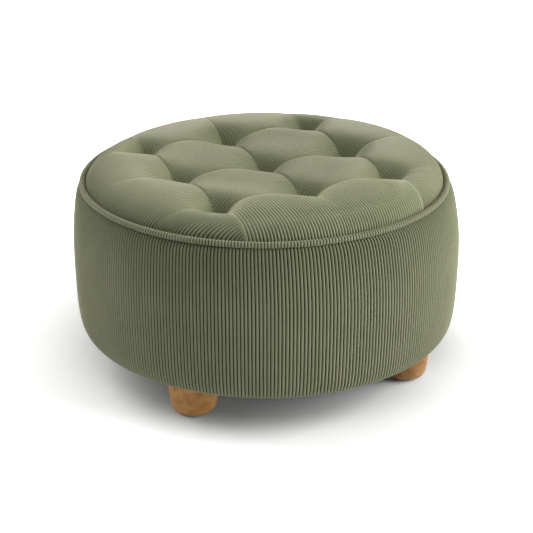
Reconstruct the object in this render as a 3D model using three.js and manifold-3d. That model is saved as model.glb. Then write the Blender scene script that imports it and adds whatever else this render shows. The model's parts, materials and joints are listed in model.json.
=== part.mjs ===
// A round tufted tuffet: a timber drum on four turned feet, padded, covered in wide-wale corduroy
// and piped round the top.
// Millimetres, +Z up. The origin is on the floor, on the drum's axis, and the tuft rows run along X and Y.
import * as THREE from "three";
import { mergeVertices } from "three/addons/utils/BufferGeometryUtils.js";
import Module from "manifold-3d";

const wasm = await Module();
wasm.setup();

// Driving dimensions
const DRUM_RADIUS = 325; // the widest line of the side cover
const BELLY_HEIGHT = 187; // where the side cover is widest
const FOOT_HEIGHT = 62;
const PIPING_HEIGHT = 312; // centre of the piping
const BORDER_PUFF = 174; // from the drum's widest line in to the outer tufts of the three by three grid
const FOOT_INSET = 67; // from the drum's widest line to a foot's centre
const FOOT_COUNT = 4; // as many posts stand between them
const FOOT_TURN = THREE.MathUtils.degToRad(-7); // the feet's square against the tuft rows

// Clearances
const FIT = 0.3; // between pieces that touch
const OVERRUN = 5; // how far a cut runs past the face that it goes through

// Cloth
const CLOTH = 2.2; // corduroy
const PIPING_CLOTH = 1.1; // the corduroy shaved thin for the piping
const DUST_CLOTH = 0.9;
const PIPING_CORD_RADIUS = 3.6;
const SEAM_ALLOWANCE = 12;
const SIDE_EDGE_INSET = 21.3; // how far the side cover draws in to its top edge
const SHOULDER_ROLL = 6.8; // the part of it that the cover rolls in by close below the piping
const SHOULDER_POWER = 24; // the higher, the tighter that roll is
const PIPING_SET_BACK = 2.4; // from that edge to the middle of the piping
const HEM_WIDTH = 34; // the side cover turned under the base
const BOTTOM_CORNER = 21; // how far the side cover draws in at the bottom
const CORNER_POWER = 3.84; // the higher, the tighter that corner is

// Tufted seat
const TUFT_HEIGHT = 300; // bottom of the tufts, on the cover's outer face
const TUFT_REACH = 31; // how far round it a tuft draws the seat down
const PUFF_HEIGHT = 342; // the nearly level puffs between the tufts
const OUTER_LIFT = 8; // how much higher the puffs outside the tufts are
const PLEAT_DEPTH = 7; // from the puffs down to the pleats that join the tufts
const PLEAT_WIDTH = 22; // how far to each side of it a pleat slopes
const SEAT_CUT_RADIUS = 6.5; // the foam's relief under each tuft
const TIE_HOLE_RADIUS = 2.5;

// Timber
const BASE_THICKNESS = 15;
const TOP_BOARD_THICKNESS = 12;
const TOP_BOARD_HEIGHT = 240; // its upper face
const SIDE_FOAM_THICKNESS = 31; // at the belly
const SKIN_THICKNESS = 3;
const POST_SIDE = 45;
const POST_INSET = 60; // from the boards' edge to a post's centre

// Feet and their fixings
const FOOT_TOP_RADIUS = 43;
const FOOT_LOW_RADIUS = 37.5;
const FOOT_EDGE = 10; // rounding of the lower edge
const FOOT_SOLE_GAP = 0.8; // the glide stands this far proud of the foot
const GLIDE_RADIUS = 18;
const GLIDE_THICKNESS = 2.4;
const BOLT_RADIUS = 4;
const BOLT_IN_FOOT = 28;
const BOLT_ABOVE_BASE = 6;
const BOLT_CHAMFER = 1;
const TEE_NUT_WALL = 1.1;
const TEE_NUT_FLANGE_RADIUS = 13;
const TEE_NUT_FLANGE = 1.6;

// Post screws
const SCREW_RADIUS = 2.2;
const SCREW_LENGTH = 45;
const SCREW_HEAD_RADIUS = 4.6;
const SCREW_HEAD_HEIGHT = 3;

// Tuft ties
const TIE_RADIUS = 1.2;
const TIE_HEAD_RADIUS = 6;
const TIE_HEAD = 1.5;
const KNOT_RADIUS = 3.4;
const KNOT_HEIGHT = 5;
const WASHER_RADIUS = 12;
const WASHER_THICKNESS = 2;

// Facets
const RING_SIDES = 60; // every large ring, so that nested rings stay parallel
const CELL_COUNT = 4; // puffs across the seat, counting those at the rim
const CELL_STEPS = 5; // RING_SIDES is twelve spans between pleats, each of this many steps
const FOOT_SIDES = 20;
const GLIDE_SIDES = 16;
const BOLT_SIDES = 10;
const SCREW_SIDES = 8;
const TIE_SIDES = 6;
const WASHER_SIDES = 8;

// Heights and radii that follow
const BASE_UNDERSIDE = FOOT_HEIGHT + DUST_CLOTH + CLOTH + 3 * FIT;
const BASE_TOP = BASE_UNDERSIDE + BASE_THICKNESS;
const TOP_BOARD_UNDERSIDE = TOP_BOARD_HEIGHT - TOP_BOARD_THICKNESS;
const HEM_UNDERSIDE = BASE_UNDERSIDE - FIT - CLOTH;
const SIDE_FOAM_INSIDE = DRUM_RADIUS - CLOTH - FIT - SIDE_FOAM_THICKNESS;
const SKIN_OUTSIDE = SIDE_FOAM_INSIDE - FIT;
const SKIN_INSIDE = SKIN_OUTSIDE - SKIN_THICKNESS;
const BOARD_RADIUS = SKIN_INSIDE - FIT;
const FOOT_CIRCLE_RADIUS = DRUM_RADIUS - FOOT_INSET;
const POST_CIRCLE_RADIUS = BOARD_RADIUS - POST_INSET;
const SIDE_EDGE_RADIUS = DRUM_RADIUS - SIDE_EDGE_INSET;
const PIPING_RING_RADIUS = SIDE_EDGE_RADIUS - PIPING_SET_BACK;
const PIPING_RADIUS = PIPING_CORD_RADIUS + FIT + PIPING_CLOTH;
const SIDE_EDGE_HEIGHT = PIPING_HEIGHT - PIPING_RADIUS - FIT;
const SEAM_FOOT = SIDE_EDGE_HEIGHT - SEAM_ALLOWANCE;
const SIDE_TURN_RADIUS = SIDE_EDGE_RADIUS - 2 * CLOTH; // inner face of the side cover's turned edge
const FLANGE_OUTSIDE = SIDE_TURN_RADIUS - FIT;
const FLANGE_INSIDE = FLANGE_OUTSIDE - 2 * PIPING_CLOTH - FIT;
const SEAT_SEAM_RADIUS = FLANGE_INSIDE - FIT; // outer face of the top cover's turned edge
const SEAT_FOAM_RADIUS = SEAT_SEAM_RADIUS - CLOTH - FIT;
const TUFT_PITCH = DRUM_RADIUS - BORDER_PUFF; // from the middle tuft to its neighbours
const TUFT_PLACES = [-TUFT_PITCH, 0, TUFT_PITCH];

const MATERIALS = {
  corduroy: { color: 0x8b8f73, roughness: 0.95 },
  foam: { color: 0xe6ddb8, roughness: 0.9 },
  plywood: { color: 0xcdb184, roughness: 0.7 },
  fibreboard: { color: 0x9a7a52, roughness: 0.8 },
  oiled_wood: { color: 0xa9743f, roughness: 0.5 },
  zinc: { color: 0xb8bcc0, roughness: 0.4, metalness: 1 },
  twine: { color: 0xd8d2c0, roughness: 0.9 },
  felt: { color: 0x4a4038, roughness: 1 },
  dust_cloth: { color: 0x1b1b1d, roughness: 1 },
};

const tuffet = new THREE.Group();

function place(name, geometry, material, x = 0, y = 0) {
  const mesh = new THREE.Mesh(geometry, new THREE.MeshStandardMaterial(MATERIALS[material]));
  mesh.name = name;
  mesh.position.set(x, y, 0);
  tuffet.add(mesh);
}

// A geometry with shared vertices, holding only their places
function welded(geometry) {
  const bare = new THREE.BufferGeometry().setAttribute("position", geometry.getAttribute("position"));
  bare.setIndex(geometry.index);
  return mergeVertices(bare);
}

function solid(geometry) {
  const bare = welded(geometry);
  return new wasm.Manifold(
    new wasm.Mesh({
      numProp: 3,
      vertProperties: bare.attributes.position.array,
      triVerts: new Uint32Array(bare.index.array),
    }),
  );
}

function fromSolid(made) {
  const mesh = made.getMesh();
  return new THREE.BufferGeometry()
    .setAttribute("position", new THREE.BufferAttribute(mesh.vertProperties, 3))
    .setIndex(new THREE.BufferAttribute(mesh.triVerts, 1));
}

// An outline of [radius, height] pairs, listed anticlockwise, turned about Z.
// It starts and ends on the axis, or closes on itself.
function turned(outline, sides = RING_SIDES) {
  const points = outline.map(([radius, height]) => new THREE.Vector2(radius, height));
  if (outline[0][0] > 0) points.push(points[0].clone());
  return new THREE.LatheGeometry(points, sides).rotateX(Math.PI / 2);
}

function disc(radius, low, high, sides) {
  return turned([[0, low], [radius, low], [radius, high], [0, high]], sides);
}

function ring(inside, outside, low, high, sides) {
  return turned([[inside, low], [outside, low], [outside, high], [inside, high]], sides);
}

function joined(one, other) {
  return fromSolid(solid(one).add(solid(other)));
}

// A copy of the body with the same tool cut out of it at each place
function drilled(body, tool, places) {
  let made = solid(body);
  for (const [x, y] of places) made = made.subtract(solid(tool.clone().translate(x, y, 0)));
  return fromSolid(made);
}

// Places spread evenly round a circle, the first of them at a start angle
function roundCircle(radius, start) {
  return Array.from({ length: FOOT_COUNT }, (_, k) => {
    const angle = start + (2 * Math.PI * k) / FOOT_COUNT;
    return [radius * Math.cos(angle), radius * Math.sin(angle)];
  });
}

const HALF_SPAN = Math.PI / FOOT_COUNT; // half the angle between two feet
const footPlaces = roundCircle(FOOT_CIRCLE_RADIUS, FOOT_TURN + HALF_SPAN);
const postPlaces = roundCircle(POST_CIRCLE_RADIUS, FOOT_TURN);
const tuftPlaces = TUFT_PLACES.flatMap((y) => TUFT_PLACES.map((x) => [x, y]));

function lerp(a, b, share) {
  return a + (b - a) * share;
}

// The side cover's outline, as [radius, height] pairs: an easy belly above, a quick corner at the bottom
const LOWER_SIDE_SHARES = [0, 0.02, 0.09, 0.3];
const UPPER_SIDE_SHARES = [0, 0.4, 0.72, 0.92, 1];

const lowerSide = LOWER_SIDE_SHARES.map((share) => {
  const rounding = (1 - (1 - share) ** CORNER_POWER) ** (1 / CORNER_POWER);
  return [DRUM_RADIUS - BOTTOM_CORNER * (1 - rounding), lerp(HEM_UNDERSIDE, BELLY_HEIGHT, share)];
});
const upperSide = UPPER_SIDE_SHARES.map((share) => {
  const inset = (SIDE_EDGE_INSET - SHOULDER_ROLL) * share ** 2 + SHOULDER_ROLL * share ** SHOULDER_POWER;
  return [DRUM_RADIUS - inset, lerp(BELLY_HEIGHT, SIDE_EDGE_HEIGHT, share)];
});
const sideOutline = [...lowerSide, ...upperSide];

function sideRadius(height) {
  const above = sideOutline.findIndex(([, stationHeight]) => stationHeight >= height);
  if (above <= 0) return sideOutline.at(above)[0];
  const [[lowRadius, low], [highRadius, high]] = sideOutline.slice(above - 1, above + 1);
  return lerp(lowRadius, highRadius, (height - low) / (high - low));
}

// [radius, height] up the side, from one height to another, at a depth under the cover's outer face
function sideLine(depth, low, high) {
  const between = sideOutline.map(([, height]) => height).filter((height) => height > low && height < high);
  return [low, ...between, high].map((height) => [sideRadius(height) - depth, height]);
}

function sideCover() {
  const hemEdge = DRUM_RADIUS - BOTTOM_CORNER - HEM_WIDTH;
  const hemTop = HEM_UNDERSIDE + CLOTH;
  const outer = sideLine(0, HEM_UNDERSIDE, SIDE_EDGE_HEIGHT);
  const inner = sideLine(CLOTH, hemTop, SIDE_EDGE_HEIGHT - CLOTH).reverse();
  const turnedEdge = [
    [SIDE_TURN_RADIUS, SIDE_EDGE_HEIGHT],
    [SIDE_TURN_RADIUS, SEAM_FOOT],
    [SIDE_TURN_RADIUS + CLOTH, SEAM_FOOT],
    [SIDE_TURN_RADIUS + CLOTH, SIDE_EDGE_HEIGHT - CLOTH],
  ];
  return turned([[hemEdge, HEM_UNDERSIDE], ...outer, ...turnedEdge, ...inner, [hemEdge, hemTop]]);
}

function sideFoam() {
  const low = BASE_UNDERSIDE;
  const outer = sideLine(CLOTH + FIT, low, TOP_BOARD_HEIGHT);
  return turned([[SIDE_FOAM_INSIDE, low], ...outer, [SIDE_FOAM_INSIDE, TOP_BOARD_HEIGHT]]);
}

// The piping: a cord in a folded strip of corduroy whose two legs go down into the seam
const ARC_STEPS = 8;

function arc(radius, from, to) {
  return Array.from({ length: ARC_STEPS + 1 }, (_, i) => {
    const angle = from + ((to - from) * i) / ARC_STEPS;
    return [PIPING_RING_RADIUS + radius * Math.cos(angle), PIPING_HEIGHT + radius * Math.sin(angle)];
  });
}

// The angle, measured anticlockwise past half a turn, at which the lower left of a circle reaches a ring radius
function lowerLeftAngle(radius, ringRadius) {
  return Math.PI + Math.acos(Math.min(1, (PIPING_RING_RADIUS - ringRadius) / radius));
}

function pipingCover() {
  const inside = PIPING_RADIUS - PIPING_CLOTH;
  const slitInside = FLANGE_INSIDE + PIPING_CLOTH;
  const slitOutside = FLANGE_OUTSIDE - PIPING_CLOTH;
  const turn = 2 * Math.PI;
  const outerArc = arc(
    PIPING_RADIUS,
    lowerLeftAngle(PIPING_RADIUS, FLANGE_OUTSIDE),
    lowerLeftAngle(PIPING_RADIUS, FLANGE_INSIDE) + turn,
  );
  const innerArc = arc(inside, lowerLeftAngle(inside, slitInside) + turn, lowerLeftAngle(inside, slitOutside));
  return turned([
    [slitOutside, SEAM_FOOT],
    [FLANGE_OUTSIDE, SEAM_FOOT],
    ...outerArc,
    [FLANGE_INSIDE, SEAM_FOOT],
    [slitInside, SEAM_FOOT],
    ...innerArc,
  ]);
}

function pipingCord() {
  return turned(arc(PIPING_CORD_RADIUS, 0, 2 * Math.PI).slice(0, -1));
}

// Height of a tufted layer over a place: a level quilt, a little higher outside the tufts, with a pleat
// along each row of tufts and a funnel down to each tuft. The crown falls to the seam at the layer's edge.
const TUFT_POWER = 1.5; // the lower, the sharper the point of a funnel
const CROWN_POWER = 9.5; // the higher, the steeper the crown falls at its edge
const LIFT_SHARES = [0.73, 1.32]; // of the tuft pitch, from the axis, where the outer lift starts and ends

function fromTuftLine(place) {
  return Math.min(...TUFT_PLACES.map((tuft) => Math.abs(place - tuft)));
}

function seatHeight(x, y, edgeRadius) {
  const across = fromTuftLine(x);
  const along = fromTuftLine(y);
  const fromAxis = Math.hypot(x, y);
  const [liftStart, liftEnd] = LIFT_SHARES.map((share) => share * TUFT_PITCH);
  const lift = OUTER_LIFT * THREE.MathUtils.smoothstep(fromAxis, liftStart, liftEnd);
  const pleat = PLEAT_DEPTH * (1 - Math.tanh(Math.min(across, along) / PLEAT_WIDTH));
  const funnel = Math.exp(-((Math.hypot(across, along) / TUFT_REACH) ** TUFT_POWER));
  const quilt = lerp(PUFF_HEIGHT + lift - pleat, TUFT_HEIGHT, funnel);
  const out = Math.min(1, fromAxis / (edgeRadius * FLAT_SHARE));
  const crown = Math.sqrt(1 - out ** CROWN_POWER);
  return lerp(SIDE_EDGE_HEIGHT, quilt, crown);
}

// The seat's plan: a square grid whose lines follow the pleats, and whose border lies on a circle
const CELL_SHARES = [0, 0.15, 0.35, 0.65, 0.85, 1];
const OUTER_CELL_SHARES = [0, 0.2, 0.46, 0.74, 0.93, 1];
const LAST_CELL = CELL_COUNT - 1;
const GRID = CELL_COUNT * CELL_STEPS;
const STEP_ANGLE = (2 * Math.PI) / RING_SIDES;
const FLAT_SHARE = Math.cos(STEP_ANGLE / 2); // from a ring's axis to the middle of a facet, over its radius

// A grid line's number, from 0 to GRID, as [cell, share], with the outer cells counted outwards
function gridShare(line) {
  const cell = Math.min(LAST_CELL, Math.floor(line / CELL_STEPS));
  const step = line - cell * CELL_STEPS;
  if (cell === 0) return [cell, OUTER_CELL_SHARES[CELL_STEPS - step]];
  return [cell, (cell === LAST_CELL ? OUTER_CELL_SHARES : CELL_SHARES)[step]];
}

// The place on a faceted ring at an angle
function onRing(angle, radius) {
  const pastMiddle = (angle % STEP_ANGLE) - STEP_ANGLE / 2;
  const reach = (radius * FLAT_SHARE) / Math.cos(pastMiddle);
  return [reach * Math.cos(angle), reach * Math.sin(angle)];
}

function seatPlan(i, j, radius) {
  const [column, across] = gridShare(i);
  const [row, along] = gridShare(j);
  const signX = i < GRID / 2 ? -1 : 1;
  const signY = j < GRID / 2 ? -1 : 1;
  const outX = column === 0 || column === LAST_CELL;
  const outY = row === 0 || row === LAST_CELL;
  const nearX = column === 1 ? 1 - across : across;
  const nearY = row === 1 ? 1 - along : along;
  const sixth = Math.PI / 6;
  const rim = (angle) => onRing(angle, radius);
  let x = nearX * TUFT_PITCH;
  let y = nearY * TUFT_PITCH;
  if (outX && outY) {
    // Between the two pleats that leave a corner tuft, and the arc of the rim
    const stepsX = Math.abs(i - GRID / 2) - CELL_STEPS;
    const stepsY = Math.abs(j - GRID / 2) - CELL_STEPS;
    const half = sixth / 2;
    const [rightX, rightY] = rim(sixth + (half * stepsY) / CELL_STEPS);
    const [topX, topY] = rim(2 * sixth - (half * stepsX) / CELL_STEPS);
    const [pleatX, pleatY] = rim(sixth);
    const [cornerX, cornerY] = rim(sixth + half);
    const lowX = lerp(TUFT_PITCH, pleatX, across);
    const lowY = lerp(TUFT_PITCH, pleatY, across);
    const leftX = lerp(TUFT_PITCH, pleatY, along);
    const leftY = lerp(TUFT_PITCH, pleatX, along);
    const blendX = lerp(lerp(TUFT_PITCH, pleatX, across), lerp(pleatY, cornerX, across), along);
    const blendY = lerp(lerp(TUFT_PITCH, pleatY, across), lerp(pleatX, cornerY, across), along);
    x = lerp(leftX, rightX, across) + lerp(lowX, topX, along) - blendX;
    y = lerp(leftY, rightY, across) + lerp(lowY, topY, along) - blendY;
  } else if (outX || outY) {
    const steps = Math.abs((outX ? j : i) - GRID / 2);
    const [far, side] = rim((sixth * steps) / CELL_STEPS);
    const share = outX ? across : along;
    const start = outX ? y : x;
    const outward = lerp(TUFT_PITCH, far, share);
    const sideways = lerp(start, side, share);
    [x, y] = outX ? [outward, sideways] : [sideways, outward];
  }
  return [signX * x, signY * y];
}

const rimLoop = [];
for (let k = 0; k < GRID; k++) rimLoop.push([k, 0]);
for (let k = 0; k < GRID; k++) rimLoop.push([GRID, k]);
for (let k = 0; k < GRID; k++) rimLoop.push([GRID - k, GRID]);
for (let k = 0; k < GRID; k++) rimLoop.push([0, GRID - k]);

// A closed body between two layers of the seat's plan, each a radius and a height function.
// Its edge runs from one to the other by way of rings.
function seatBody(upper, lower, rings) {
  const places = [];
  const triangles = [];
  const layer = ({ radius, height }) => {
    const first = places.length / 3;
    for (let j = 0; j <= GRID; j++)
      for (let i = 0; i <= GRID; i++) {
        const [x, y] = seatPlan(i, j, radius);
        places.push(x, y, height(x, y, radius));
      }
    return first;
  };
  const face = (first, i, j, up) => {
    const a = first + j * (GRID + 1) + i;
    const [b, c, d] = [a + 1, a + GRID + 2, a + GRID + 1];
    // Each quad is split along the diagonal that points away from the middle
    const split = i < GRID / 2 === j < GRID / 2 ? [[a, b, c], [a, c, d]] : [[a, b, d], [b, c, d]];
    for (const corners of split) triangles.push(...(up ? corners : corners.reverse()));
  };
  const top = layer(upper);
  const bottom = layer(lower);
  for (let j = 0; j < GRID; j++)
    for (let i = 0; i < GRID; i++) {
      face(top, i, j, true);
      face(bottom, i, j, false);
    }
  const onLayer = (first) => rimLoop.map(([i, j]) => first + j * (GRID + 1) + i);
  const loops = [onLayer(top)];
  for (const { radius, height } of rings) {
    const first = places.length / 3;
    for (const [i, j] of rimLoop) {
      const [x, y] = seatPlan(i, j, radius);
      places.push(x, y, height);
    }
    loops.push(rimLoop.map((_, k) => first + k));
  }
  loops.push(onLayer(bottom));
  for (let l = 1; l < loops.length; l++)
    for (let k = 0; k < rimLoop.length; k++) {
      const next = (k + 1) % rimLoop.length;
      const [a, b, c, d] = [loops[l - 1][k], loops[l - 1][next], loops[l][next], loops[l][k]];
      triangles.push(a, c, b, a, d, c);
    }
  return new THREE.BufferGeometry()
    .setAttribute("position", new THREE.BufferAttribute(new Float32Array(places), 3))
    .setIndex(triangles);
}

function topCover() {
  const inside = SEAT_SEAM_RADIUS - CLOTH;
  return seatBody(
    { radius: SEAT_SEAM_RADIUS, height: seatHeight },
    { radius: inside, height: (x, y, radius) => seatHeight(x, y, radius) - CLOTH },
    [
      { radius: SEAT_SEAM_RADIUS, height: SEAM_FOOT },
      { radius: inside, height: SEAM_FOOT },
    ],
  );
}

function seatFoam() {
  const low = TOP_BOARD_HEIGHT + FIT;
  const ledge = SEAM_FOOT - FIT;
  const pad = seatBody(
    { radius: SEAT_FOAM_RADIUS, height: (x, y, radius) => seatHeight(x, y, radius) - CLOTH - FIT },
    { radius: SEAT_FOAM_RADIUS, height: () => low },
    [],
  );
  // Outside the seam's turned edge the foam fills the side cover's shoulder
  const ridgeInside = SIDE_TURN_RADIUS + CLOTH + FIT;
  const ridgeTop = SIDE_EDGE_HEIGHT - CLOTH - 2 * FIT;
  const outer = sideLine(CLOTH + FIT, low, ridgeTop);
  const shoulder = turned([[0, low], ...outer, [ridgeInside, ridgeTop], [ridgeInside, ledge], [0, ledge]]);
  const crest = PUFF_HEIGHT + OUTER_LIFT;
  const relief = disc(SEAT_CUT_RADIUS, tieHeadUnderside() - FIT, crest, TIE_SIDES);
  const bore = disc(TIE_HOLE_RADIUS, low - OVERRUN, TUFT_HEIGHT, TIE_SIDES);
  return drilled(joined(pad, shoulder), joined(relief, bore), tuftPlaces);
}

function tieHeadUnderside() {
  return TUFT_HEIGHT - CLOTH - FIT - TIE_HEAD;
}

// A tie: a stitched pad under the cover, twine down through the foam and the board,
// and a knot under its washer
function tuftTie() {
  const headTop = TUFT_HEIGHT - CLOTH - FIT;
  const washerUnderside = TOP_BOARD_UNDERSIDE - FIT - WASHER_THICKNESS;
  const knotTop = washerUnderside - FIT;
  const knotMiddle = knotTop - KNOT_HEIGHT / 2;
  return turned(
    [
      [0, knotTop - KNOT_HEIGHT],
      [KNOT_RADIUS, knotMiddle],
      [TIE_RADIUS, knotTop],
      [TIE_RADIUS, tieHeadUnderside()],
      [TIE_HEAD_RADIUS, tieHeadUnderside()],
      [TIE_HEAD_RADIUS, headTop],
      [0, headTop],
    ],
    TIE_SIDES,
  );
}

function tuftWasher() {
  const high = TOP_BOARD_UNDERSIDE - FIT;
  return ring(TIE_RADIUS + 2 * FIT, WASHER_RADIUS, high - WASHER_THICKNESS, high, WASHER_SIDES);
}

// A countersunk screw whose head is flush with a board's face.
// It points down from the top board and up from the base.
function postScrew(headFace, direction, spare) {
  const head = SCREW_HEAD_RADIUS + spare;
  const shaft = SCREW_RADIUS + spare;
  const neck = headFace + direction * SCREW_HEAD_HEIGHT;
  const tip = headFace + direction * (SCREW_LENGTH + spare);
  const point = tip - direction * SCREW_RADIUS;
  const outline = [
    [0, headFace],
    [head, headFace],
    [shaft, neck],
    [shaft, point],
    [0, tip],
  ];
  return turned(direction > 0 ? outline : outline.reverse(), SCREW_SIDES);
}

const topScrew = (spare) => postScrew(TOP_BOARD_HEIGHT, -1, spare);
const baseScrew = (spare) => postScrew(BASE_UNDERSIDE, 1, spare);

// A box on end between the two boards, turned so that a face looks outwards
function post(turn) {
  const low = BASE_TOP + FIT;
  const high = TOP_BOARD_UNDERSIDE - FIT;
  const box = new THREE.BoxGeometry(POST_SIDE, POST_SIDE, high - low)
    .translate(0, 0, (low + high) / 2)
    .rotateZ(turn);
  return drilled(drilled(box, topScrew(FIT), [[0, 0]]), baseScrew(FIT), [[0, 0]]);
}

function baseBoard() {
  const bore = BOLT_RADIUS + 2 * FIT + TEE_NUT_WALL;
  const plain = disc(BOARD_RADIUS, BASE_UNDERSIDE, BASE_TOP);
  const tool = disc(bore, BASE_UNDERSIDE - OVERRUN, BASE_TOP + OVERRUN, BOLT_SIDES);
  return drilled(drilled(plain, tool, footPlaces), baseScrew(FIT), postPlaces);
}

function topBoard() {
  const plain = disc(BOARD_RADIUS, TOP_BOARD_UNDERSIDE, TOP_BOARD_HEIGHT);
  const tool = disc(TIE_HOLE_RADIUS, TOP_BOARD_UNDERSIDE - OVERRUN, TOP_BOARD_HEIGHT + OVERRUN, TIE_SIDES);
  return drilled(drilled(plain, tool, tuftPlaces), topScrew(FIT), postPlaces);
}

function dustCover() {
  const low = FOOT_HEIGHT + FIT;
  const radius = DRUM_RADIUS - BOTTOM_CORNER - HEM_WIDTH / 2;
  const plain = disc(radius, low, low + DUST_CLOTH);
  const tool = disc(BOLT_RADIUS + 2 * FIT, low - OVERRUN, low + OVERRUN, BOLT_SIDES);
  return drilled(plain, tool, footPlaces);
}

// A turned foot, a little narrower below, with a rounded lower edge, a pocket for the glide
// and a bore for the bolt
function foot() {
  const edgeTop = FOOT_SOLE_GAP + FOOT_EDGE;
  const edgeAngles = [0, 30, 60, 90].map(THREE.MathUtils.degToRad);
  const edge = edgeAngles.map((angle) => [
    FOOT_LOW_RADIUS - FOOT_EDGE * (1 - Math.sin(angle)),
    edgeTop - FOOT_EDGE * Math.cos(angle),
  ]);
  const boreFoot = FOOT_HEIGHT - BOLT_IN_FOOT - FIT;
  const bore = BOLT_RADIUS + FIT;
  const pocket = GLIDE_RADIUS + FIT;
  const pocketTop = GLIDE_THICKNESS + FIT;
  return turned(
    [
      [0, pocketTop],
      [pocket, pocketTop],
      [pocket, FOOT_SOLE_GAP],
      ...edge,
      [FOOT_TOP_RADIUS, FOOT_HEIGHT],
      [bore, FOOT_HEIGHT],
      [bore, boreFoot],
      [0, boreFoot],
    ],
    FOOT_SIDES,
  );
}

function footBolt() {
  const low = FOOT_HEIGHT - BOLT_IN_FOOT;
  const high = BASE_TOP + TEE_NUT_FLANGE + BOLT_ABOVE_BASE;
  return turned(
    [
      [0, low],
      [BOLT_RADIUS - BOLT_CHAMFER, low],
      [BOLT_RADIUS, low + BOLT_CHAMFER],
      [BOLT_RADIUS, high - BOLT_CHAMFER],
      [BOLT_RADIUS - BOLT_CHAMFER, high],
      [0, high],
    ],
    BOLT_SIDES,
  );
}

function teeNut() {
  const inside = BOLT_RADIUS + FIT;
  const barrel = inside + TEE_NUT_WALL;
  const flangeLow = BASE_TOP + FIT;
  return turned(
    [
      [inside, BASE_UNDERSIDE],
      [barrel, BASE_UNDERSIDE],
      [barrel, flangeLow],
      [TEE_NUT_FLANGE_RADIUS, flangeLow],
      [TEE_NUT_FLANGE_RADIUS, flangeLow + TEE_NUT_FLANGE],
      [inside, flangeLow + TEE_NUT_FLANGE],
    ],
    BOLT_SIDES,
  );
}

place("side_cover", sideCover(), "corduroy");
place("top_cover", topCover(), "corduroy");
place("piping_cover", pipingCover(), "corduroy");
place("piping_cord", pipingCord(), "twine");
place("seat_foam", seatFoam(), "foam");
place("side_foam", sideFoam(), "foam");
place("wall_skin", ring(SKIN_INSIDE, SKIN_OUTSIDE, BASE_UNDERSIDE, TOP_BOARD_HEIGHT), "fibreboard");
place("top_board", topBoard(), "plywood");
place("base_board", baseBoard(), "plywood");
place("dust_cover", dustCover(), "dust_cloth");

footPlaces.forEach(([x, y], k) => {
  place(`foot_${k + 1}`, foot(), "oiled_wood", x, y);
  place(`foot_glide_${k + 1}`, disc(GLIDE_RADIUS, 0, GLIDE_THICKNESS, GLIDE_SIDES), "felt", x, y);
  place(`foot_bolt_${k + 1}`, footBolt(), "zinc", x, y);
  place(`tee_nut_${k + 1}`, teeNut(), "zinc", x, y);
});

postPlaces.forEach(([x, y], k) => {
  place(`post_${k + 1}`, post(Math.atan2(y, x)), "plywood", x, y);
  place(`post_top_screw_${k + 1}`, topScrew(0), "zinc", x, y);
  place(`post_base_screw_${k + 1}`, baseScrew(0), "zinc", x, y);
});

tuftPlaces.forEach(([x, y], k) => {
  place(`tuft_tie_${k + 1}`, tuftTie(), "twine", x, y);
  place(`tuft_washer_${k + 1}`, tuftWasher(), "zinc", x, y);
});

export default tuffet;
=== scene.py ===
# %% [markdown]
# A round tufted tuffet in sage green corduroy, on four turned wooden feet.
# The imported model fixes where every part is. This lesson dresses it: each soft cover, the piping and the
# feet are modelled again as fine meshes in the same places, and every part gets its finish.

# %% Load the frame
import bmesh
import bpy
import json
import math
import numpy as np
from mathutils import Matrix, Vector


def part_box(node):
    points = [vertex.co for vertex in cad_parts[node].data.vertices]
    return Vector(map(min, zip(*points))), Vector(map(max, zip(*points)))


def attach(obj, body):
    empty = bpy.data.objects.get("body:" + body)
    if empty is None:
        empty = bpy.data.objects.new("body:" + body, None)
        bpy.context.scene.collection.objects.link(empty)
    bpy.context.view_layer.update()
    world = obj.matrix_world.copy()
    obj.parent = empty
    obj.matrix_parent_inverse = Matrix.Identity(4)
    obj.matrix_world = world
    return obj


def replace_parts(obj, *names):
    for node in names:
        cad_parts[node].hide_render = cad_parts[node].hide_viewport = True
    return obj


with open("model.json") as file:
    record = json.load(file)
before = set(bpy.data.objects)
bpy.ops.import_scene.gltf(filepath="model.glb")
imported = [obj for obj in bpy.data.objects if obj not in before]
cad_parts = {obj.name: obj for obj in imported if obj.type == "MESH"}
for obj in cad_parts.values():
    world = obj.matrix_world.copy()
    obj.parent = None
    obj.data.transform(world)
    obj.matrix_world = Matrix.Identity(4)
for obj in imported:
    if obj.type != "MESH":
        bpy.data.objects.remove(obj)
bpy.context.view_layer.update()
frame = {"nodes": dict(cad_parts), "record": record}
MM = 0.001
print("parts in the frame:", len(frame["nodes"]))

# %% [markdown]
# The camera comes first, because every later choice is judged through it. The photograph's viewpoint is 24
# degrees above the floor, a little over two metres away, turned 25.5 degrees from the tuft rows. A long
# lens keeps the drum's ellipse as flat as it is there.

# %% Camera
PHOTO_TURN = math.radians(-25.5)
PHOTO_RISE = math.radians(23.86)
PHOTO_DISTANCE = 2.133
PHOTO_LENS_MM = 83.7
SENSOR_WIDTH_MM = 36
LOOK_AT_HEIGHT = 0.145

look_at = np.array([0, 0, LOOK_AT_HEIGHT])
back = np.array([
    math.sin(PHOTO_TURN) * math.cos(PHOTO_RISE),
    -math.cos(PHOTO_TURN) * math.cos(PHOTO_RISE),
    math.sin(PHOTO_RISE),
])
camera = bpy.data.objects.new("camera", bpy.data.cameras.new("camera"))
camera.data.lens = PHOTO_LENS_MM
camera.data.sensor_width = SENSOR_WIDTH_MM
camera.location = look_at + back * PHOTO_DISTANCE
camera.rotation_euler = (math.pi / 2 - PHOTO_RISE, 0, PHOTO_TURN)
bpy.context.collection.objects.link(camera)
bpy.context.scene.camera = camera
print("camera at", [round(c, 3) for c in camera.location])

# %% [markdown]
# A faint, even sky fills what the lamps leave dark. It could be a picture of a studio, but a plain one
# keeps the colours as they are written. The camera sees it as white, straight and in reflections.

# %% Sky
SKY_LEVEL = 0.03

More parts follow.
